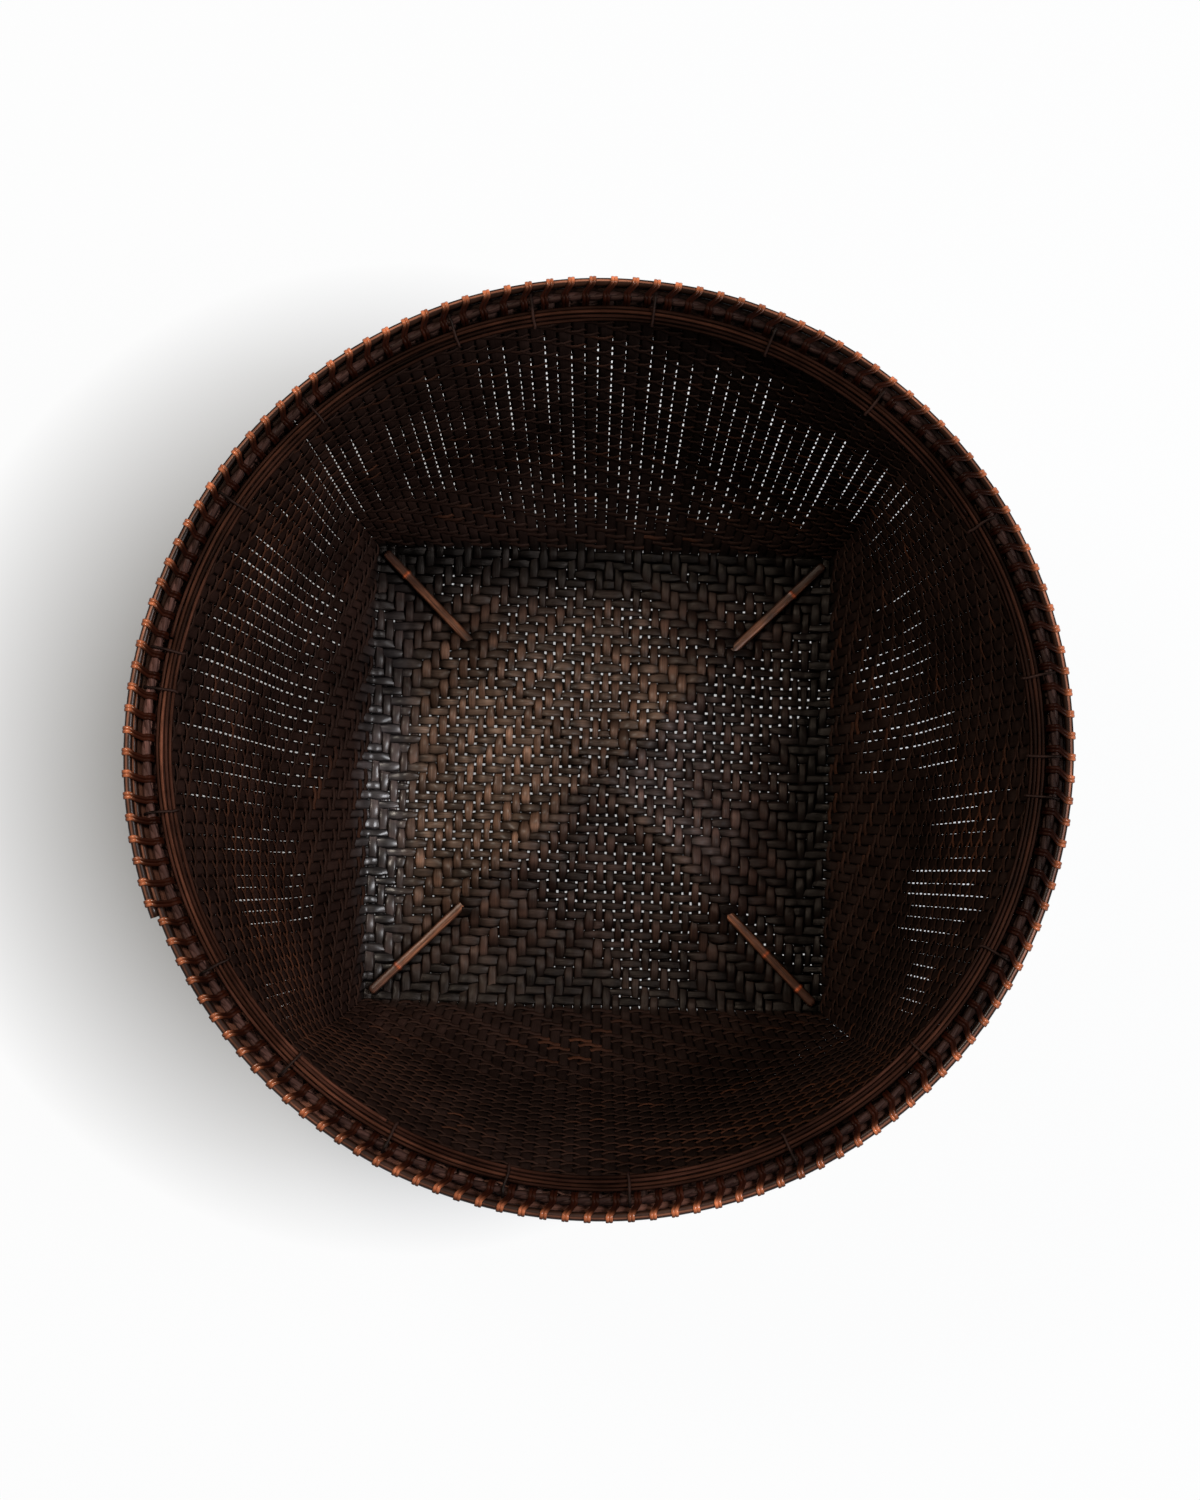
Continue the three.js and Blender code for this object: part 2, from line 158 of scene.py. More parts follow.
for name, spot, width, power, color in (
    ("lamp_right", (0.98, -0.04, 1.4), 0.55, 21.0, (0.95, 0.96, 1.0)),
    ("lamp_over", (-0.62, 0.48, 1.45), 0.35, 13.0, (1.0, 0.90, 0.78)),
):
    lamp = bpy.data.objects.new(name, bpy.data.lights.new(name, "AREA"))
    lamp.data.size = width
    lamp.data.energy = power
    lamp.data.color = color
    lamp.location = spot
    lamp.rotation_mode = "QUATERNION"
    lamp.rotation_quaternion = (mouth_middle - lamp.location).to_track_quat("-Z", "Y")
    bpy.context.collection.objects.link(lamp)


# Strips of the body. Split bamboo about 4.5 mm wide, two crossed sets of 48 plaited in a 2/2 twill whose
# diagonals turn over at the middle of the floor; each strip turns up at the floor's edge and goes on
# as a stake of the wall.
floor_half = 0.115
body_thickness = 0.0024
edge_radius = 0.199
edge_height = 0.2055
strips = 48
stakes, middle_strip = 4 * strips, strips // 2
strip_pitch = 2 * floor_half / strips
first_corner = -45
wall_profile = np.array(
    [(0, 0), (0.1, 0.03), (0.245, 0.08), (0.385, 0.145), (0.49, 0.23), (0.57, 0.36), (0.635, 0.477),
     (0.7, 0.594), (0.805, 0.76), (1, 1)]
)
ridge_rise, ridge_reach, ridge_width = 0.0115, 0.0745, 0.015
sag_share, sag_reach = 0.55, 0.088
band_inside, ridge_fade = 0.0875, 0.013
edge_curl, curl_from = 0.0020, 0.1015
slat_half_span, slat_seat, upper_crossing, lower_crossing = 0.111, 0.0049, 0.0100, 0.0073
slat_to_strip, strip_under_slat, lowest_strip = 0.0024, 0.0026, 0.0012
hold_from, through_from, hold_reach = 0.050, 0.0645, 0.0075


def smooth_curve(points, share):
    """Places on a smooth curve through points, by their share of its spans."""
    last = len(points) - 1
    spot = np.clip(share, 0, 1) * last
    near = np.minimum(spot.astype(int), last - 1)
    t = (spot - near)[..., None]
    before, start = points[np.maximum(near - 1, 0)], points[near]
    end, after = points[near + 1], points[np.minimum(near + 2, last)]
    leave, arrive = (end - before) / 2, (after - start) / 2
    return ((2 * start - 2 * end + leave + arrive) * t**3
            + (3 * end - 3 * start - 2 * leave - arrive) * t**2 + leave * t + start)


def ramp(value, width):
    """0 below zero, 1 above the width, and straight between them."""
    return np.clip(value / width, 0, 1)


shares = np.linspace(0, 1, 401)
wall_out_and_up = (edge_radius - floor_half, edge_height - edge_curl - body_thickness / 2)
outline = smooth_curve(wall_profile, shares) * wall_out_and_up
climbed = np.concatenate([[0], np.cumsum(np.hypot(*np.diff(outline, axis=0).T))])
wall_length = climbed[-1]


def slat_height(x, y):
    """Height of the middle of the slat that runs under or over a point near a diagonal."""
    reach = np.abs(x + np.copysign(1, x * y) * y) / 2 / slat_half_span
    crossing = np.where(x * y > 0, upper_crossing, lower_crossing)
    return slat_seat + (crossing - slat_seat) * (0.5 + 0.5 * np.cos(np.pi * reach))


def floor_height(x, y):
    """Middle of the floor: raised in an X over the slats, sagging between them, and curled up at its edge.
    Near the corners the slats come out through it."""
    far, near = np.maximum(abs(x), abs(y)), np.minimum(abs(x), abs(y))
    aside, middle = (far - near) / math.sqrt(2), (far + near) / 2
    ridge = ridge_rise * np.clip(1 - (middle / ridge_reach) ** 6, 0, 1)
    sag = ridge_rise * sag_share * np.clip(1 - (far / sag_reach) ** 2, 0, 1) ** 1.5
    hug = 1 / (1 + (aside / ridge_width) ** 2)
    curl = edge_curl * (np.clip(far - curl_from, 0, 1) / (floor_half - curl_from)) ** 2
    fade = ramp(band_inside - far, ridge_fade)
    height = body_thickness / 2 + (sag + (ridge - sag) * hug) * fade + curl
    hold = ramp(hold_reach - aside, 0.004) * ramp(middle - hold_from, 0.006)
    hold = hold * hold * (3 - 2 * hold)
    through = ramp(middle - through_from, 0.005)
    over = slat_height(x, y) + slat_to_strip
    under = np.maximum(slat_height(x, y) - strip_under_slat, lowest_strip)
    raised = (1 - through) * np.maximum(over - height, 0)
    return height + hold * (raised + through * np.minimum(under - height, 0))


def surface(stake, climb):
    """Point of the body's middle surface: stake counts round from the front right corner, climb is the
    length up the wall, and below zero it runs back over the floor."""
    side = np.floor(stake / strips)
    along = (stake - side * strips) / strips * 2 - 1
    climb = np.broadcast_to(climb, np.shape(along + climb))
    out, rise = np.moveaxis(smooth_curve(wall_profile, np.interp(climb, climbed, shares)), -1, 0)
    turn = along * math.pi / 4
    x = (1 - out) * floor_half + out * edge_radius * np.cos(turn) + np.minimum(climb, 0)
    y = (1 - out) * floor_half * along + out * edge_radius * np.sin(turn)
    foot = body_thickness / 2 + edge_curl
    z = foot + (edge_height - foot) * rise
    z = np.where(climb < 0, floor_height(x, y), z)
    turn = side * math.pi / 2
    return np.stack([x * np.cos(turn) - y * np.sin(turn), x * np.sin(turn) + y * np.cos(turn), z], -1)


def unit(vectors):
    return vectors / np.linalg.norm(vectors, axis=-1, keepdims=True)


def inward(stake, climb):
    """Direction out of the weave, into the basket."""
    along = surface(stake + 0.45, climb) - surface(stake - 0.45, climb)
    up = surface(stake, climb + 0.0016) - surface(stake, climb - 0.0016)
    return unit(np.cross(up, along))


def drift(seed, *places):
    """Smooth irregular value between about -1 and 1 that changes over a place of a few coordinates."""
    chance = np.random.default_rng(seed)
    total = 0
    for _ in range(5):
        turn = chance.normal(size=len(places))
        total = total + np.sin(sum(p * t for p, t in zip(places, turn)) * 2 + chance.uniform(0, 6.3))
    return total / 2.6


class Strand:
    """Template of a strand: rings of a section, to be laid along a path again and again."""

    def __init__(self, stations, sides, closed=False):
        form = bmesh.new()
        if closed:
            ring = bmesh.ops.create_circle(form, segments=sides, radius=1)
            bmesh.ops.rotate(form, verts=form.verts, matrix=Matrix.Rotation(math.pi / 2, 3, "X"))
            bmesh.ops.translate(form, verts=form.verts, vec=(3, 0, 0))
            bmesh.ops.spin(form, geom=form.edges[:] + ring["verts"], axis=(0, 0, 1), angle=2 * math.pi,
                           steps=stations, use_merge=True)
            bmesh.ops.recalc_face_normals(form, faces=form.faces)
        else:
            bmesh.ops.create_cone(form, segments=sides, radius1=1, radius2=1, depth=stations - 1, cap_ends=True)
            lengthwise = [e for e in form.edges if abs(e.verts[0].co.z - e.verts[1].co.z) > 0.5]
            bmesh.ops.subdivide_edges(form, edges=lengthwise, cuts=stations - 2)
        self.mesh = bpy.data.meshes.new("strand")
        form.to_mesh(self.mesh)
        form.free()
        co = np.empty(len(self.mesh.vertices) * 3)
        self.mesh.vertices.foreach_get("co", co)
        x, y, z = co.reshape(-1, 3).T
        if closed:
            self.station = np.round(np.arctan2(y, x) / (2 * math.pi) * stations).astype(int) % stations
            self.across, self.up = np.hypot(x, y) - 3, z
        else:
            self.station = np.round(z + (stations - 1) / 2).astype(int)
            self.across, self.up = y, x
        self.closed = closed

    def lay(self, path, up, left, right, half_thick, tint, seed, square=1.0, roll=None):
        """Vertices and surface values of one strand along a path. A square below 1 flattens the section."""
        count = len(path)
        if self.closed:
            forward = unit(np.roll(path, -1, 0) - np.roll(path, 1, 0))
        else:
            forward = unit(np.gradient(path, axis=0))
        aside = unit(np.cross(forward, up))
        up = np.cross(aside, forward)
        if roll is not None:
            cos, sin = np.cos(roll)[:, None], np.sin(roll)[:, None]
            aside, up = aside * cos + up * sin, up * cos - aside * sin
        length = np.concatenate([[0], np.cumsum(np.linalg.norm(np.diff(path, axis=0), axis=1))])
        k = self.station
        left, right, half_thick = (np.broadcast_to(v, count)[k] for v in (left, right, half_thick))
        across = np.copysign(np.abs(self.across) ** square, self.across)
        reach = across * np.where(across > 0, right, left)
        co = path[k] + aside[k] * reach[:, None] + up[k] * (self.up * half_thick)[:, None]
        lie = np.stack([length[k], reach, np.full(len(k), seed)], -1)
        return co, lie, tint[k]


def piece(name, strand, laid, finish, nodes):
    """One object made of strands of the same template."""
    form = bmesh.new()
    for _ in laid:
        form.from_mesh(strand.mesh)
    mesh = bpy.data.meshes.new(name)
    form.to_mesh(mesh)
    form.free()
    co, lie, tint = (np.concatenate([part[i] for part in laid]) for i in range(3))
    mesh.vertices.foreach_set("co", co.ravel())
    mesh.attributes.new("lie", "FLOAT_VECTOR", "POINT").data.foreach_set("vector", lie.ravel())
    if tint.shape[1] == 3:
        tint = np.concatenate([tint, np.zeros((len(tint), 1))], 1)
    mesh.attributes.new("tint", "FLOAT_COLOR", "POINT").data.foreach_set("color", tint.ravel())
    mesh.shade_smooth()
    mesh.update()
    mesh.materials.append(finish)
    made = bpy.data.objects.new(name, mesh)
    bpy.context.collection.objects.link(made)
    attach(made, "root")
    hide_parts(*nodes)
    return made


def cane_finish(name, roughness, streak, wear, relief, half_wide, specular=0.5, gloss_tint=(1.0, 0.86, 0.76),
                edge_shade=0.0, painted_highlight_line=0.0, line_at=0.45, coat_roughness=0.28):
    """Split bamboo or cane: lengthwise fibres, soot in patches, painted shade along the edges, a painted
    highlight line along the strand, and a coat of polish where the tint's alpha says so."""
    material = bpy.data.materials.new(name)
    wire = tree_of(material)
    lie = wire.node("ShaderNodeAttribute", {"attribute_name": "lie"}, output="Vector")
    tint = wire.node("ShaderNodeAttribute", {"attribute_name": "tint"}, output="Color")
    polish = wire.node("ShaderNodeAttribute", {"attribute_name": "tint"}, output="Alpha")
    aside = wire.node("ShaderNodeSeparateXYZ", inputs={"Vector": lie}, output="Y")
    at_edge = wire.math("ABSOLUTE", aside).step(0.45 * half_wide, half_wide)
    # Noise stretched along the strand, and unlike in every strand
    fibre_scale = (70.0, 2600.0, 91.0)
    stretched = wire.node("ShaderNodeVectorMath", {"operation": "MULTIPLY"}, {0: lie, 1: fibre_scale})
    fibre = wire.node("ShaderNodeTexNoise", {}, {
        "Vector": stretched, "Scale": 1.0, "Detail": 3.0, "Roughness": 0.6})
    spot = wire.node("ShaderNodeTexCoord", output="Object")
    dimming = wire.node("ShaderNodeTexNoise", {}, {"Vector": spot, "Scale": 85.0, "Detail": 4.0, "Roughness": 0.6})
    patch = wire.node("ShaderNodeTexNoise", {}, {"Vector": spot, "Scale": 22.0, "Detail": 2.0})
    fibres = fibre.step(0.28, 0.74)
    sooty = dimming.step(0.2, 0.75) * 0.6 + 0.68
    paling = patch.step(0.3, 0.7) * wear + 1 - wear / 2
    # Painted shade darkens the strand towards its edges
    shade = (fibres * streak + (1 - streak / 2)) * sooty * paling * (1 - edge_shade * at_edge)
    # Painted highlight: a paler line along the strand, weaker where it is polished
    from_line = wire.math("ABSOLUTE", aside - line_at * half_wide)
    shade = shade * (1 + painted_highlight_line * (1 - polish) * (1 - from_line.step(0, 0.36 * half_wide)))
    color = wire.node("ShaderNodeMix", {"data_type": "RGBA", "blend_type": "MULTIPLY"},
                      {0: 1.0, 6: tint, 7: shade}, output=2)
    rough = roughness + 0.16 * dimming.step(0.3, 0.7) - 0.08 * fibres
    bump = wire.node("ShaderNodeBump", {}, {"Strength": 0.6, "Distance": relief, "Height": fibres + dimming * 0.5})
    shader = wire.node("ShaderNodeBsdfPrincipled", {}, {
        "Base Color": color, "Roughness": rough, "Normal": bump, "Specular IOR Level": specular,
        "Specular Tint": (*gloss_tint, 1.0), "Coat Weight": polish, "Coat Roughness": coat_roughness,
        "Coat IOR": 1.45})
    wire.node("ShaderNodeOutputMaterial", inputs={"Surface": shader})
    return material


brown_gloss = (1.0, 0.75, 0.62)
# The edge_shade of every finish is painted shade along the edges of its strands
floor_finish = cane_finish("smoked_bamboo", 0.42, 0.8, 0.6, 0.00012, strip_pitch / 2, specular=0.16,
                           edge_shade=0.26)
stake_finish = cane_finish("sooty_bamboo", 0.5, 0.4, 0.35, 0.0001, strip_pitch / 2, specular=0.07,
                           gloss_tint=brown_gloss, edge_shade=0.1)

rows = 70
row_pitch = (wall_length - 0.0035) / rows
row_climbs = 0.0022 + row_pitch * (np.arange(rows) + 0.2)
weaver_reach, stake_reach, plait_reach = 0.00098, 0.0002, 0.0007
strip_half_thick = 0.0005
widest_floor_gap, floor_press = 0.0017, 0.00044
widest_stake_gap, stake_press, gap_share_of_pitch = 0.0010, 0.00004, 0.14
twill_turn = 21
edge_calm, uneven_lift, swell = 0.24, 0.14, 2.0

# Patches of the floor where the strips have drawn apart, as middle, size and openness
worn_patches = (
    (-0.022, 0.068, 0.036, 0.9), (-0.058, 0.020, 0.036, 1.15), (-0.070, -0.030, 0.034, 1.05),
    (-0.008, 0.034, 0.020, 1.0), (0.020, -0.004, 0.018, 1.2), (0.069, 0.035, 0.026, 1.15),
    (0.052, 0.006, 0.034, 0.8), (0.096, 0.044, 0.018, 0.9), (-0.004, -0.047, 0.028, 1.1),
    (0.036, -0.062, 0.026, 1.1), (0.024, -0.094, 0.026, 0.6), (0.020, 0.072, 0.026, 0.7),
    (0.071, 0.090, 0.014, 0.7), (-0.076, 0.092, 0.016, 0.55), (-0.102, -0.064, 0.012, 0.7),
    (0.092, -0.076, 0.014, 0.6), (-0.016, 0.010, 0.018, 0.9), (0.104, 0.072, 0.010, 0.8),
)
# Patches painted paler, partly wear from hands and partly painted light and sheen, most on the sides of the X
# that face the back left lamp, as middle, half width, half depth and share
rubbed_and_lit_patches = (
    (-0.066, -0.008, 0.050, 0.060, 1.25), (-0.01, 0.055, 0.060, 0.032, 0.32), (0.040, 0.020, 0.022, 0.022, 1.6),
    (0.048, -0.026, 0.020, 0.018, 1.6), (0.022, -0.002, 0.012, 0.020, 1.2),
    (-0.112, -0.020, 0.014, 0.075, 0.55), (-0.045, -0.106, 0.055, 0.010, 0.4), (0.112, 0.020, 0.010, 0.05, 0.2),
)


def floor_gap(x, y):
    """Gap between neighbouring strips of the floor; below zero they press on each other."""
    open_share = sum(level * np.exp(-((x - px) ** 2 + (y - py) ** 2) / size**2)
                     for px, py, size, level in worn_patches)
    open_share = open_share + 0.36 * drift(5, x * 60, y * 60) + 0.2 * drift(14, x * 330, y * 330)
    return widest_floor_gap * np.clip(open_share - 0.25, 0, 0.75) - floor_press


def rubbed_and_lit(x, y):
    """How pale the floor is painted, from 0 to 1: partly wear, partly painted light and sheen."""
    shares = sum(share * np.exp(-((x - px) / wide) ** 2 - ((y - py) / deep) ** 2)
                 for px, py, wide, deep, share in rubbed_and_lit_patches)
    # Painted light: the sides of the ridges that face the back left lamp are palest
    facing_lamp = np.clip((y - x) / 0.012 + 0.5, 0.25, 1)
    return np.clip(shares * facing_lamp + 0.07 * drift(6, x * 40, y * 40), 0, 1)


# Runs where a gap between two stakes stands open: place round the basket in degrees, half width of the
# region in degrees, lowest and highest climb, and openness
open_runs = (
    (88, 27, 0.005, 0.205, 0.84), (60, 9, 0.015, 0.17, 0.95), (46, 7, 0.04, 0.17, 0.95),
    (118, 9, 0.03, 0.16, 0.8), (136, 9, 0.04, 0.18, 0.8), (168, 22, 0.02, 0.20, 1.06),
    (199, 12, 0.03, 0.16, 0.75), (222, 7, 0.09, 0.18, 0.7), (22, 8, 0.01, 0.11, 1.0),
    (8, 8, 0.01, 0.14, 0.9), (-6, 6, 0.07, 0.20, 0.65), (-20, 8, 0.06, 0.19, 0.85), (-34, 6, 0.1, 0.17, 0.6),
)


def strip_wander(x, y, fore_and_aft):
    """How far the edge shared by two neighbouring strips has moved sideways."""
    along, across = (y, x) if fore_and_aft else (x, y)
    slow = drift(8 + fore_and_aft, along * 14, across * 430)
    return 0.00022 * slow + 0.00042 * drift(9, along * 190, across * 1500)


def stake_gap(between, climb):
    """Gap between two stakes of the wall; many are closed, and some stand open for a stretch."""
    turn = (between / stakes * 360 + first_corner) % 360
    region = 0
    for middle, half, low, high, level in open_runs:
        off = (turn - middle + 180) % 360 - 180
        inside = np.exp(-((off / half) ** 4)) * ramp(climb - low, 0.02) * ramp(high - climb, 0.03)
        region = np.maximum(region, level * inside)
    own = drift(11, between * 2.1, climb * 9) * 0.3 + drift(12, between * 0.35, climb * 22) * 0.25
    own = own + 0.32 * drift(13, between * 3.7, climb * 110)
    own = own * np.clip(region * 3, 0, 1)
    stake_pitch = 0.0048 + 0.00165 * climb / wall_length
    reach = ramp(climb, 0.012) * ramp(wall_length - 0.014 - climb, 0.006)
    gap = np.clip(widest_stake_gap * (region + own - 0.48), 0, gap_share_of_pitch * stake_pitch)
    return reach * gap - stake_press


def crossing_over(across_strip, up_strip):
    """True where the strip that runs front to back lies on top, at a crossing of the floor. The twill turns
    over at the middle strip and near the left and right edges."""
    return (up_strip - abs(abs(across_strip - middle_strip) - twill_turn)) % 4 < 2


def weaver_inside(stake, row):
    """True where a weaver passes inside a stake."""
    return (stake - row) % 4 < 2


def strip_stations(side, strip):
    """Half a strip, from the middle line of the floor to the rim: its path, the direction out of the weave,
    the reach of its two edges, its climb, and how far it rises above the middle of the weave."""
    stake = side * strips + strip
    per_crossing = 4
    floor_climbs = -floor_half + strip_pitch * (np.arange(middle_strip * per_crossing) + 0.5) / per_crossing
    wall_climbs = np.sort(np.concatenate([row_climbs, row_climbs + row_pitch / 2]))
    wall_climbs = np.concatenate([[row_climbs[0] / 2], wall_climbs, [wall_length]])
    climbs = np.concatenate([floor_climbs, np.minimum(wall_climbs, wall_length)])
    # Over and under on the floor
    outward = np.arange(middle_strip, strips)
    backward = outward[::-1] - middle_strip
    own, mirrored = np.full(middle_strip, strip), np.full(middle_strip, strips - 1 - strip)
    x_strip, y_strip = ((outward, own), (mirrored, outward), (backward, mirrored), (own, backward))[side]
    on_top = crossing_over(x_strip, y_strip)
    level = np.where(on_top if side % 2 else ~on_top, 1.0, -1.0)
    level = np.concatenate([level, [0.0]])
    # Over and under on the wall
    held = np.where(weaver_inside(stake, np.arange(rows)), -1.0, 1.0)
    crossed = np.arange(middle_strip + 1)
    crossings = np.concatenate([-floor_half + strip_pitch * (crossed[:-1] + 0.5), [0.0008], row_climbs])
    near_edge = ramp(np.maximum(abs(strip - (strips - 1) / 2), crossed) - 17, 6)
    tight = (1 - edge_calm * near_edge) * (1 + uneven_lift * drift(77 + side, crossed * 2.0, strip * 2.0))
    levels = np.concatenate([level * plait_reach * tight, held * stake_reach])
    t = np.clip(np.searchsorted(crossings, climbs) - 1, 0, len(crossings) - 2)
    share = np.clip((climbs - crossings[t]) / (crossings[t + 1] - crossings[t]), 0, 1)
    lift = levels[t] + (levels[t + 1] - levels[t]) * (share * share * (3 - 2 * share))
    # A strip that stays on one side for two crossings swells between them
    same_side = np.sign(levels[t]) == np.sign(levels[t + 1])
    lift = lift + np.where(same_side, swell, 0.0) * levels[t] * share * (1 - share)
    middle, up = surface(stake + 0.5, climbs), inward(stake + 0.5, climbs)
    low, high = surface(stake + 0.01, climbs), surface(stake + 0.99, climbs)
    pitch = np.linalg.norm(high - low, axis=1) / 0.98
    reaches = []
    for edge, place in ((0, 0.001), (1, 0.999)):
        at = surface(stake + place, np.minimum(climbs, 0))
        gap = np.where(climbs < 0, floor_gap(at[:, 0], at[:, 1]), stake_gap(stake + edge, climbs))
        shift = strip_wander(at[:, 0], at[:, 1], side % 2) * (1, -1, -1, 1)[side]
        reaches.append(pitch / 2 - gap / 2 + (2 * edge - 1) * shift)
    rise = lift / plait_reach
    waist = 1 - 0.18 * np.clip(1 - np.abs(rise), 0, 1) * (climbs < 0)
    path = middle + up * lift[:, None]
    path[:, 2] = np.maximum(path[:, 2], strip_half_thick + 0.0001)
    return path, up, reaches[0] * waist, reaches[1] * waist, climbs, rise


def round_level(degrees, *levels):
    """Value at a place round the rim, from its values at every 45 degrees, the first on the right."""
    return np.interp(degrees % 360, np.arange(9) * 45, (*levels, levels[0]))[:, None]


tones = np.random.default_rng(3)
table_clearance, wall_finish_from = 0.00003, 0.004
painted_edge_shade, painted_slat_shade, painted_slat_shade_half = 0.74, 0.65, 0.006
flat_shade, rise_shade, edge_rise_shade = 0.34, 0.76, 0.28
dark_bamboo, warm_bamboo = np.array([(0.0105, 0.0058, 0.0047), (0.0140, 0.0078, 0.0062)])
rubbed_and_lit_bamboo, cold_sheen_bamboo = np.array([(0.075, 0.044, 0.029), (0.070, 0.048, 0.044)])
painted_light_by_axis = np.array([(0.86, 0.90, 0.92), (1.22, 1.09, 1.02)])
half_count = len(strip_stations(0, 0)[4])
strip_strand = Strand(2 * half_count, 6)
strip_groups = {}
for axis, name in enumerate(("strips_across", "strips_fore_and_aft")):
    for number in range(strips):
        near = strip_stations(axis + 2, strips - 1 - number)
        far = strip_stations(axis, number)
        # The low edge of a half strip is on the right where the strip runs up to the far side
        path, up, right, left, climbs, rise = (
            np.concatenate([near[part][::-1], far[other]])
            for part, other in ((0, 0), (1, 1), (3, 2), (2, 3), (4, 4), (5, 5)))
        chance = tones.random(3)
        which = number + strips * axis
        x, y, rise = path[:, :1], path[:, 1:2], rise[:, None]
        out_x, out_y, onto_wall = np.abs(x), np.abs(y), ramp(climbs, 0.012)[:, None]
        # The floor: paler in patches, partly wear and partly painted light; painted shade darkens its back and
        # right edges and the strips beside the slats
        paling = rubbed_and_lit(path[:, 0], path[:, 1])[:, None]
        beside_slat = np.exp(-(((out_x - out_y) / math.sqrt(2) / painted_slat_shade_half) ** 2))
        beside_slat = beside_slat * ramp((out_x + out_y) / 2 - 0.062, 0.005)
        dimming = (1 - painted_edge_shade * ramp(np.maximum(x, y) - 0.088, 0.02)) * (1 - painted_slat_shade * beside_slat)
        # Painted cold sheen on the right of the X and along the left edge, mixed into the pale colour
        cold_sheen = np.maximum(ramp(x - out_y, 0.01), ramp(-x - 0.090, 0.012))
        pale_and_lit = rubbed_and_lit_bamboo + (cold_sheen_bamboo - rubbed_and_lit_bamboo) * cold_sheen
        floor_tint = (1.15 * warm_bamboo + (pale_and_lit - warm_bamboo) * paling) * dimming * (0.75 + 0.5 * chance[0])
        at_edge = ramp(np.maximum(out_x, out_y) - 0.085, 0.02)
        # Painted shade where a strip dives under another, lightest on top of a float; near the floor's edge it
        # turns over into painted light on the lower strips
        by_rise = flat_shade + rise_shade * np.clip(rise, 0, 1.2)
        by_rise = by_rise + (1.0 - edge_rise_shade * rise - by_rise) * at_edge
        # Painted light: strips that run front to back are lighter and warmer than those across; all are darker
        # and greyer towards the edge
        floor_tint = floor_tint * (1 - at_edge * (0.26, 0.12, 0.06)) * by_rise * painted_light_by_axis[axis]
        # The wall: painted light makes it lighter and redder on the left, and lights its top under the
        # lashings, where shade falls
        wall_tint = dark_bamboo + (warm_bamboo - dark_bamboo) * chance[1]
        wall_tint = wall_tint * (1 + ramp(-x, 0.16) * (0.6, 0.36, 0.26))
        tint = floor_tint * (1 - onto_wall) + wall_tint * onto_wall
        uneven = 0.25 * drift(200 + which, climbs * 70) + 0.45 * drift(300 + which, climbs * 260)
        tint = tint * np.exp(uneven[:, None] * (1 - 0.55 * onto_wall))
        # Painted light in the shade under the lashings, most at the left and front
        painted_light_at_top = ramp(climbs - wall_length + 0.008, 0.002)[:, None]
        round_place = np.degrees(np.arctan2(path[:, 1], path[:, 0]))
        tint = tint * (1 + painted_light_at_top * round_level(round_place, 2.2, 2.2, 2.2, 3.0, 8.0, 12.0, 10.0, 4.0))
        edge_gloss = np.exp(-(((y + 0.03) / 0.055) ** 2)) * ramp(-x - 0.094, 0.008)
        tint = np.concatenate([tint, (0.22 * paling + edge_gloss) * (1 - onto_wall)], 1)
        thick = strip_half_thick * (1 - 0.3 * onto_wall[:, 0])
        roll = 0.16 * (1 - onto_wall[:, 0]) * drift(400 + which, climbs * 150)
        laid = strip_strand.lay(path, up, left, right, thick, tint, float(which), square=0.9, roll=roll)
        laid[0][:, 2] = np.maximum(laid[0][:, 2], table_clearance)
        strip_groups.setdefault(name + "_" + "abc"[number * 3 // strips], []).append(laid)
for name, laid in strip_groups.items():
    made = piece(name, strip_strand, laid, floor_finish, ["woven_body"])
    made.data.materials.append(stake_finish)
    corner = np.empty(len(made.data.polygons), int)
    made.data.polygons.foreach_get("loop_start", corner)
    vertex = np.empty(len(made.data.loops), int)
    made.data.loops.foreach_get("vertex_index", vertex)
    # Every strip has the same climbs, so the last one's tell which faces are on the wall
    on_wall = climbs[strip_strand.station[vertex[corner] % len(strip_strand.station)]] > wall_finish_from
    made.data.polygons.foreach_set("material_index", on_wall.astype(int))


# Weavers of the wall. Fine split bamboo, 70 rows that go over two stakes and under two, each row one
# stake further on, so that their dashes climb round the wall.
weaver_half_wide, weaver_half_thick = 0.00112, 0.0004
weaver_finish = cane_finish("smoked_weaver", 0.5, 0.5, 0.4, 0.0001, weaver_half_wide, specular=0.08,
                            gloss_tint=brown_gloss, edge_shade=0.15)
stations = stakes * 2
weaver = Strand(stations, 6, closed=True)
stake_at = np.arange(stations) / 2
before = (np.ceil(stake_at).astype(int) - 1) % stakes
after = (before + 1) % stakes
red_cane, brown_cane = np.array([(0.060, 0.021, 0.0105), (0.0185, 0.0088, 0.0064)])
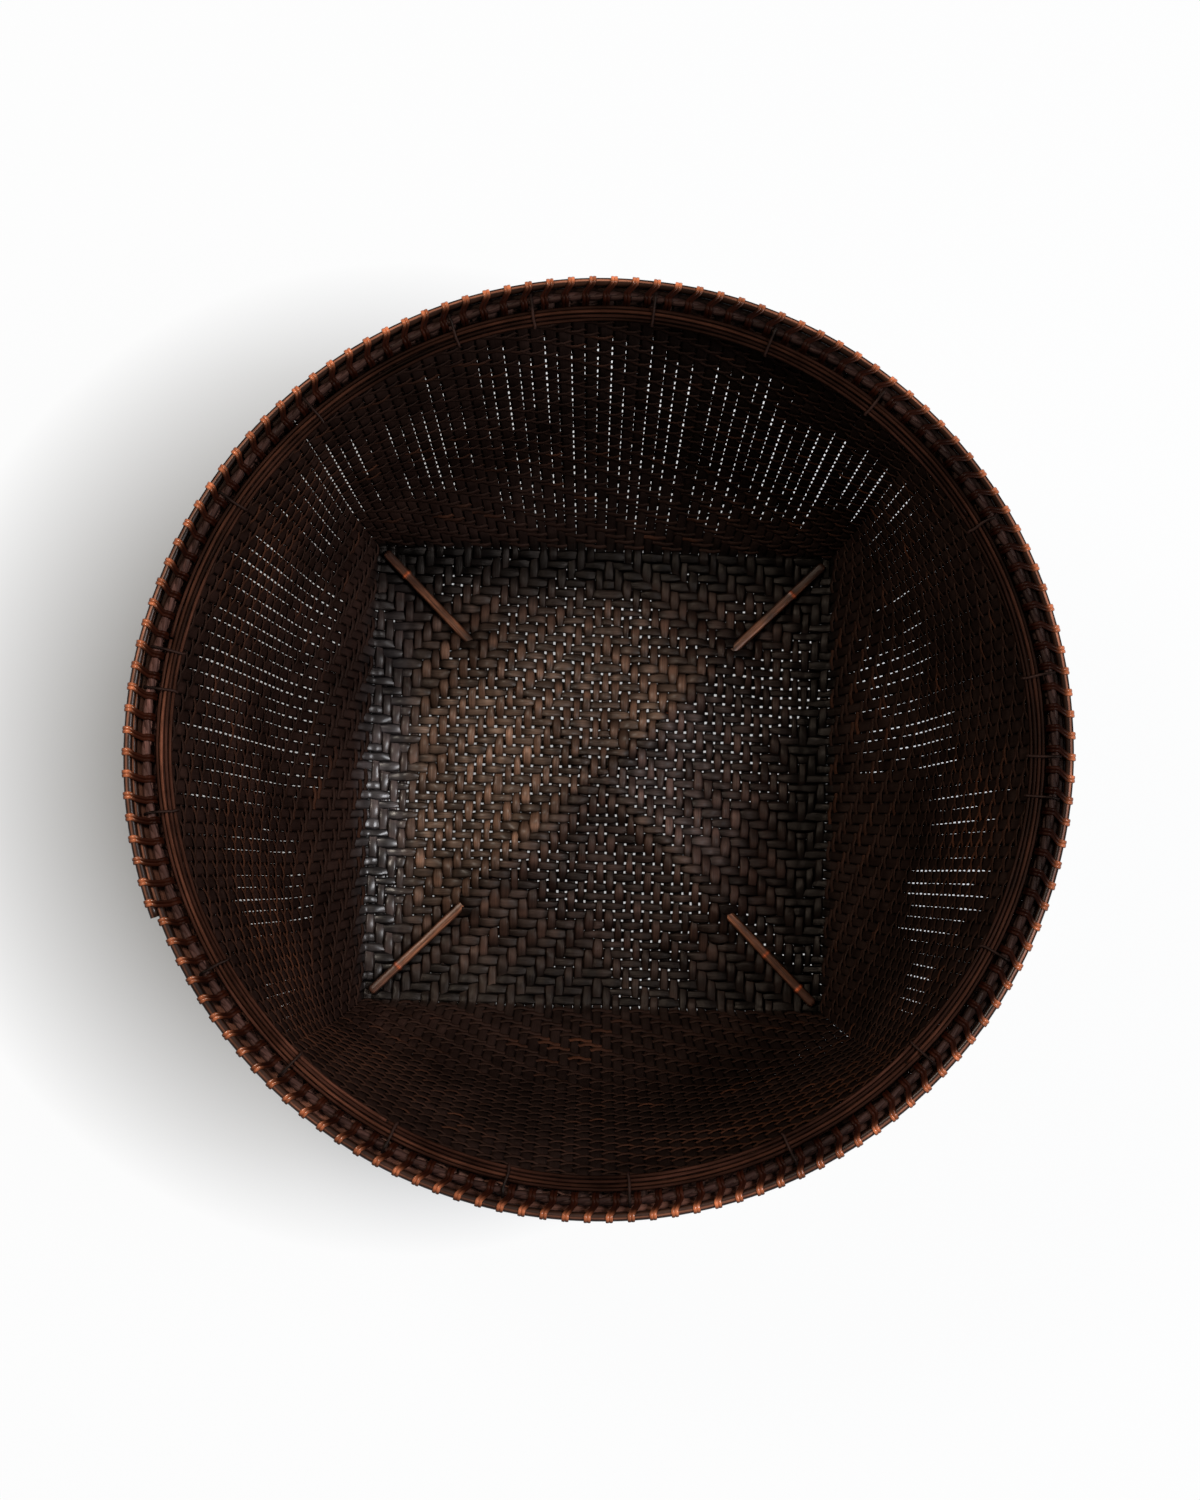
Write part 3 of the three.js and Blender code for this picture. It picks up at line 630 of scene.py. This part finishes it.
# Where the weavers are reddest: place round the basket in degrees, half width, climb, half height
red_patches = ((205, 26, 0.12, 0.07), (-9, 8, 0.15, 0.03), (150, 14, 0.15, 0.04), (-60, 20, 0.17, 0.03))
turn = stake_at / stakes * 2 * np.pi
round_place = np.degrees(turn) + first_corner
rows_per_band = 14
between_two = 1.12
bands = {}
for row in range(rows):
    climb = row_climbs[row] + 0.00022 * drift(40 + row, stake_at * 0.35)
    climb = np.minimum(climb, wall_length - 0.0006)
    # A weaver's rise is the mean of what two neighbouring stakes ask for, and a little fuller between them
    lift = (weaver_inside(before, row) * 1.0 + weaver_inside(after, row)) - 1
    lift = np.where((stake_at % 1 == 0) & (lift != 0), lift * between_two, lift) * weaver_reach
    middle, up = surface(stake_at % stakes, climb), inward(stake_at % stakes, climb)
    shared = drift(60 + row // 3, np.cos(turn) * 3, np.sin(turn) * 3)
    redness = np.clip(0.5 * shared + 0.5 * drift(90 + row, stake_at * 0.3) - 0.42, 0, 1)
    for middle_place, half, height, deep in red_patches:
        off = (round_place - middle_place + 180) % 360 - 180
        redness = redness + 0.8 * np.exp(-((off / half) ** 2) - ((climb - height) / deep) ** 2)
    # Painted light in the shade under the lashings, most at the left and front
    painted_light_at_top = ramp(climb - wall_length + 0.009, 0.002)[:, None]
    tint = brown_cane + (red_cane - brown_cane) * redness[:, None]
    tint = tint * (1 + painted_light_at_top * round_level(round_place, 0.0, 0.0, 0.0, 0.5, 3.0, 5.0, 4.0, 1.0))
    wide = weaver_half_wide * (1 + 0.1 * drift(120 + row, stake_at * 0.2))
    path = middle + up * lift[:, None]
    laid = weaver.lay(path, up, wide, wide, weaver_half_thick, tint, float(row), square=0.85)
    bands.setdefault("weavers_band_%d" % (row // rows_per_band + 1), []).append(laid)
for name, laid in bands.items():
    piece(name, weaver, laid, weaver_finish, ["woven_body"])


# Slats. Two crossed strips of split cane with raised nodes, bowed up under the middle of the floor; their
# ends come up through the weave and lie along the diagonals into the four corners.
slat_half_wide, slat_half_thick = 0.0025, 0.0012
# Painted shade along the slat's edges and a painted highlight line along it
slat_finish = cane_finish("slat_cane", 0.36, 1.5, 1.0, 0.00012, slat_half_wide, specular=0.3, edge_shade=0.8,
                          painted_highlight_line=1.2)
ring_half, ring_wider, ring_thicker = 0.0007, 0.00035, 0.0002
slat_body_tint, slat_ring_tint, slat_end_tint = np.array(
    [(0.135, 0.050, 0.024), (0.40, 0.080, 0.024), (0.032, 0.012, 0.007)]
)
slat_polish, end_rounding, dark_end_from = 0.35, 0.006, 0.72
slat_stations = 420
slat_strand = Strand(slat_stations, 12)
upward = (0.0, 0.0, 1.0)
for node, heading, crossing, rings in (
    ("diagonal_slat_upper", 45, upper_crossing, (-0.88, -0.36, 0.3, 0.86)),
    ("diagonal_slat_lower", -45, lower_crossing, (-0.9, -0.42, 0.2, 0.78, 0.93)),
):
    share = np.linspace(-1, 1, slat_stations)
    reach = share * slat_half_span * math.sqrt(2)
    turn = math.radians(heading)
    height = slat_seat + (crossing - slat_seat) * (0.5 + 0.5 * np.cos(np.pi * share))
    path = np.stack([reach * math.cos(turn), reach * math.sin(turn), height], -1)
    ring = sum(np.exp(-(((share - r) * slat_half_span * math.sqrt(2) / ring_half) ** 2)) for r in rings)
    end = np.sqrt(np.clip((1 - np.abs(share)) / end_rounding, 0.35, 1))
    wide = (slat_half_wide + ring_wider * ring + 0.00012 * drift(7, share * 9)) * end
    thick = (slat_half_thick + ring_thicker * ring) * end
    tint = slat_body_tint * (1 + 0.45 * drift(60 + heading, share * 17))[:, None]
    tint = tint + (slat_end_tint - tint) * ramp(np.abs(share) - dark_end_from, 1 - dark_end_from)[:, None]
    tint = tint + (slat_ring_tint - tint) * ring[:, None]
    tint = np.concatenate([tint, np.full((slat_stations, 1), slat_polish)], 1)
    laid = slat_strand.lay(path, upward, wide, wide, thick, tint, 3.0, square=0.7)
    piece(node.replace("diagonal", "cane"), slat_strand, [laid], slat_finish, [node])


# Hoop. A round cane rod that stands outside the wall's edge; its ends overlap on the left for an eighth of a
# turn, the outer end square and the inner end pared away. A second, darker rod lies between it and the wall.
# Painted highlight line along the hoop's outer top, and painted shade along its edges
hoop_finish = cane_finish("hoop_cane", 0.42, 0.8, 0.7, 0.0001, 0.0022, specular=0.05, edge_shade=0.85,
                          painted_highlight_line=16.0, line_at=0.28)
inner_finish = cane_finish("inner_cane", 0.5, 0.8, 0.7, 0.0001, 0.0022, specular=0.06, edge_shade=0.5)
rod_half = 0.0020
hoop_radius, hoop_height = 0.20659, 0.20547
inner_radius, inner_height = 0.20316, 0.20287
overlap_step, overlap_from, overlap_to = 0.0032, 161.5, 203.8
scarf_end, scarf_gap = 164.0, 0.0002
hoop_tint, inner_tint = np.array([(0.036, 0.0145, 0.0085), (0.018, 0.0075, 0.0050)])


def stand_off(degrees):
    """How far the hoop's outer end stands off where it overlaps the pared one."""
    share = (degrees - overlap_from) / (overlap_to - overlap_from)
    return np.where((share < 0) | (share > 1), 0.0, overlap_step * share)


def round_rim(degrees, radius, height):
    turn = np.radians(degrees)
    return np.stack([radius * np.cos(turn), radius * np.sin(turn), height + 0 * turn], -1)


degrees = np.arange(scarf_end - 360, overlap_to, 1.0)
inside_end = degrees < overlap_to - 360
room = np.where(inside_end, stand_off(degrees + 360) + scarf_gap, 2 * rod_half)
wide = np.minimum(room / 2, rod_half)
shift = np.where(inside_end, wide - rod_half, stand_off(degrees))
wander = 0.00012 * drift(21, degrees * 0.11) * ~inside_end
path = round_rim(degrees, hoop_radius + shift + wander, hoop_height + 0.0002 * drift(22, degrees * 0.06))
hoop_strand = Strand(len(degrees), 12)
tint = hoop_tint * (1 + 0.35 * drift(23, degrees * 0.15)[:, None])
# Painted light and shade round the rim: the hoop is lightest at the front left and front
tint = tint * round_level(degrees, 0.4, 0.42, 0.48, 0.5, 0.6, 0.8, 0.8, 0.45)
tint = np.concatenate([tint, round_level(degrees, 0.05, 0.05, 0.05, 0.1, 0.4, 0.75, 0.8, 0.45)], 1)
laid = hoop_strand.lay(path, upward, wide, wide, (rod_half + wide) / 2, tint, 5.0)
piece("hoop_main", hoop_strand, [laid], hoop_finish, ["hoop_rod_main"])

degrees = np.arange(0, 360, 1.0)
ring_strand = Strand(360, 10, closed=True)
path = round_rim(degrees, inner_radius + 0.0001 * drift(24, degrees * 0.1), inner_height)
tint = inner_tint * (1 + 0.3 * drift(25, degrees * 0.2)[:, None])
# Painted light round the rim: the inner rod is far lighter at the front left and front
tint = tint * round_level(degrees, 0.4, 0.3, 0.3, 0.6, 1.3, 9.0, 7.0, 1.6)
laid = ring_strand.lay(path, upward, rod_half, rod_half + 0.0002, rod_half, tint, 9.0)
piece("hoop_inner", ring_strand, [laid], inner_finish, ["hoop_rod_inner"])


# Border. Two dark strands of cane twisted together along the top of the wall's edge, one twist for each
# two lashings.
border_finish = cane_finish("border_cane", 0.42, 1.2, 0.9, 0.0001, 0.0016, specular=0.09,
                            gloss_tint=(1.0, 0.75, 0.65), edge_shade=0.4)
border_radius, border_height = 0.19983, 0.2077
twist_height = 0.2078
ply_half, ply_offset = 0.00162, 0.00056
border_tint = np.array((0.017, 0.0078, 0.0062))
wraps = 136
twists = wraps // 2
stations = twists * 10
degrees = np.arange(stations) / stations * 360
border_strand = Strand(stations, 7, closed=True)
border_laid = []
for ply in (0, math.pi):
    phase = np.radians(degrees) * twists + ply
    aside, above = ply_offset * np.cos(phase), ply_offset * np.sin(phase)
    path = round_rim(degrees, border_radius + aside, twist_height + above)
    tint = border_tint * (1 + 0.3 * drift(31, degrees / 6 + ply)[:, None])
    # Painted light round the rim: the border is lightest at the left and front left
    tint = tint * round_level(degrees, 0.75, 0.8, 0.8, 1.3, 3.6, 2.8, 1.5, 0.9)
    wide = ply_half * (1 + 0.05 * drift(32, degrees / 4))
    border_laid.append(border_strand.lay(path, upward, wide, wide, wide, tint, ply))
piece("border_twist", border_strand, border_laid, border_finish, ["border_strand"])


# Inner bundle. Four thin round splints side by side along the inside of the edge; the ends of each butt
# under a tie.
splint_finish = cane_finish("splint_cane", 0.45, 0.9, 0.7, 0.00008, 0.0008, specular=0.04,
                            gloss_tint=(1.0, 0.7, 0.55), edge_shade=0.6)
splint_half = 0.00088
# Radius, height, and share of the way round where the ends butt, from the outermost splint inwards
splint_places = (
    (0.19490, 0.2063, 0.4663), (0.1931, 0.2071, 0.8757), (0.19128, 0.2063, 0.0932), (0.18964, 0.20534, 0.6729)
)
splint_tints = np.array(
    [(0.019, 0.0070, 0.0044), (0.037, 0.0132, 0.0076), (0.018, 0.0066, 0.0042), (0.025, 0.0092, 0.0057)]
)
splint_strand = Strand(361, 8)
for number, (radius, height, butt) in enumerate(splint_places):
    degrees = butt * 360 + np.linspace(0.15, 359.85, 361)
    radius = radius + 0.00016 * drift(50 + number, degrees * 0.12)
    path = round_rim(degrees, radius, height + 0.00015 * drift(55 + number, degrees * 0.1))
    tint = splint_tints[number] * (1 + 0.5 * drift(58 + number, degrees * 0.06)[:, None])
    # Painted light round the rim: the splints are lightest at the left and front left
    tint = tint * round_level(degrees, 0.45, 0.45, 0.5, 0.65, 2.1, 1.7, 1.1, 0.85)
    laid = splint_strand.lay(path, upward, splint_half, splint_half, splint_half, tint, float(number))
    piece("bundle_splint_%d" % (number + 1), splint_strand, [laid], splint_finish,
          ["rim_splint_%d" % (number + 1)])


# Lashings. Eight lengths of cane, each wound 17 times round the hoop and over the border, down the inside of
# the wall and out through its seam; each turn is two strands side by side.
lashing_finish = cane_finish("lashing_cane", 0.38, 0.5, 0.4, 0.00005, 0.0009, specular=0.05,
                             coat_roughness=0.14)
lashing_bright, lashing_dark = np.array([(0.54, 0.165, 0.070), (0.0210, 0.0046, 0.0020)])
lashing_half_wide, lashing_half_thick = 0.00080, 0.00040
seam_drop = 0.0088


def around(centre, reach, *angles):
    """Points of a section at a distance from a centre, at angles counted from outwards over the top."""
    return [centre + reach * np.array((math.cos(math.radians(a)), math.sin(math.radians(a)))) for a in angles]


hoop_spot, border_spot = np.array((hoop_radius, hoop_height)), np.array((border_radius, border_height))
edge_spot = np.array((edge_radius, edge_height))
wall_lean, wall_out = np.array((0.35, 0.937)), np.array((0.937, -0.35))
seam_spot = edge_spot - wall_lean * seam_drop
hoop_reach, border_reach = rod_half + lashing_half_thick, 0.0026
off_hoop = 230
# One turn seen in section: radius, height, share of a step round the rim made so far, angle on the hoop
turn_outline = np.array(
    [(*around(hoop_spot, hoop_reach, angle)[0], 0.0, angle) for angle in range(-130, 100, 30)]
    + [(*around(hoop_spot, hoop_reach, 110)[0], 0.02, 110)]
    + [(*((hoop_spot + border_spot) / 2 + (0.0004, 0.0017)), 0.18, 160)]
    + [(*p, 0.36, off_hoop) for p in around(border_spot, border_reach, 60, 95, 130, 165)]
    + [(*(seam_spot - wall_out * 0.0018 + wall_lean * 0.005), 0.4, off_hoop)]
    + [(*(seam_spot - wall_out * 0.0017), 0.4, off_hoop)]
    + [(*(seam_spot + wall_out * 0.0018 - wall_lean * 0.0004), 0.55, off_hoop)]
    + [(*(seam_spot + wall_out * 0.003 + wall_lean * 0.003), 0.8, off_hoop)]
)
wraps_per_strand = 17
for number in range(wraps // wraps_per_strand):
    wrap = np.repeat(np.arange(number * wraps_per_strand, (number + 1) * wraps_per_strand), len(turn_outline))
    corners = np.tile(turn_outline, (wraps_per_strand, 1))
    corners[:, 2] = first_corner + (wrap + corners[:, 2]) * 360 / wraps
    corners[:, 0] += stand_off(corners[:, 2] % 360) * (corners[:, 3] < off_hoop)
    count = 2 * len(corners) - 1
    radius, height, degrees, angle = smooth_curve(corners, np.linspace(0, 1, count)).T
    # Painted light and shade: each turn is bright over the top of the hoop and dark where it goes down into the
    # recess and inside, its bright part a little further out at the back right
    painted_lit_share = np.exp(-(((angle - 62 + 22 * np.cos(np.radians(degrees - 55))) / 40) ** 2))[:, None]
    lashing_strand = Strand(count, 8)
    laid = []
    for half in (-1, 1):
        path, across = round_rim(degrees, radius, height), round_rim(degrees + 90, 1.0, 0.0)
        apart = lashing_half_wide * (0.98 + 0.04 * drift(81 + number, degrees * 0.3))[:, None]
        path = path + across * half * apart
        up = np.cross(across, unit(np.gradient(path, axis=0)))
        # Painted light and shade round the rim: the dark and pale colours of the lashing are scaled by place
        # round it
        dark = lashing_dark * round_level(degrees, 0.5, 0.45, 0.5, 0.6, 0.85, 0.8, 0.85, 0.6)
        pale_and_lit = lashing_bright * round_level(degrees, 0.85, 1.0, 1.15, 1.05, 0.8, 0.72, 0.85, 0.75)
        tint = (dark + (pale_and_lit - dark) * painted_lit_share) * (1 + 0.25 * drift(70 + number, degrees * 0.4 + half)[:, None])
        polish = round_level(degrees, 0.6, 0.6, 0.7, 0.9, 1.0, 0.8, 0.8, 0.7) * painted_lit_share
        tint = np.concatenate([tint, polish], 1)
        laid.append(lashing_strand.lay(path, up, lashing_half_wide, lashing_half_wide, lashing_half_thick, tint,
                                       float(number * 2 + half), square=0.5))
    piece("cane_lashing_%d" % (number + 1), lashing_strand, laid, lashing_finish,
          ["lashing_strand_%d" % (number + 1)])


# Ties. Twenty-two loops of thin dark cane that hold the bundle to the wall's edge: up behind the wall, over
# border and bundle, and back in through the seam.
tie_finish = cane_finish("tie_cane", 0.42, 0.6, 0.5, 0.00006, 0.0007, specular=0.08, edge_shade=0.4)
tie_tint = np.array((0.015, 0.0068, 0.0052))
# Where the ties stand, as shares of the way round
tie_turns = (
    0.0008, 0.0311, 0.0917, 0.1425, 0.1964, 0.2417, 0.2847, 0.3067, 0.3619, 0.4122, 0.4664,
    0.4836, 0.5306, 0.5822, 0.6342, 0.6736, 0.7189, 0.7683, 0.8233, 0.8772, 0.9278, 0.98,
)
tie_half_wide, tie_half_thick = 0.0007, 0.00034
last_splint = np.array(splint_places[3][:2])
tie_outline = np.array(
    [seam_spot + wall_out * 0.0022, edge_spot + wall_out * 0.002 - wall_lean * 0.003]
    + around(border_spot, 0.0027, 0, 45, 95)
    + around(np.array(splint_places[1][:2]), 0.0016, 75)
    + around(last_splint, 0.0015, 95, 150, 205)
    + [seam_spot - wall_out * 0.0018 + wall_lean * 0.002, seam_spot - wall_out * 0.0016]
)
tie_stations = 72
step = np.arange(tie_stations)
tie_strand = Strand(tie_stations, 6, closed=True)
radius, height = smooth_curve(np.vstack([tie_outline, tie_outline[:1]]), step / tie_stations).T
on_bundle = ramp(0.1965 - radius, 0.001)[:, None]
for number, share in enumerate(tie_turns):
    # Each tie lies between two turns of the lashing
    middle = first_corner + (math.floor(share * twists + twists / 8) + 0.5) * 360 / twists
    degrees = middle + 0.1 * drift(300 + number, step * 0.1) * np.sin(step / tie_stations * np.pi)
    path, across = round_rim(degrees, radius, height), round_rim(degrees + 90, 1.0, 0.0)
    up = np.cross(across, unit(np.roll(path, -1, 0) - np.roll(path, 1, 0)))
    tint = tie_tint * (0.8 + 0.5 * tones.random()) * (0.4 + 0.6 * on_bundle)
    laid = tie_strand.lay(path, up, tie_half_wide, tie_half_wide, tie_half_thick, tint, float(number))
    piece("cane_tie_%02d" % (number + 1), tie_strand, [laid], tie_finish,
          ["bundle_tie_%02d" % (number + 1)])
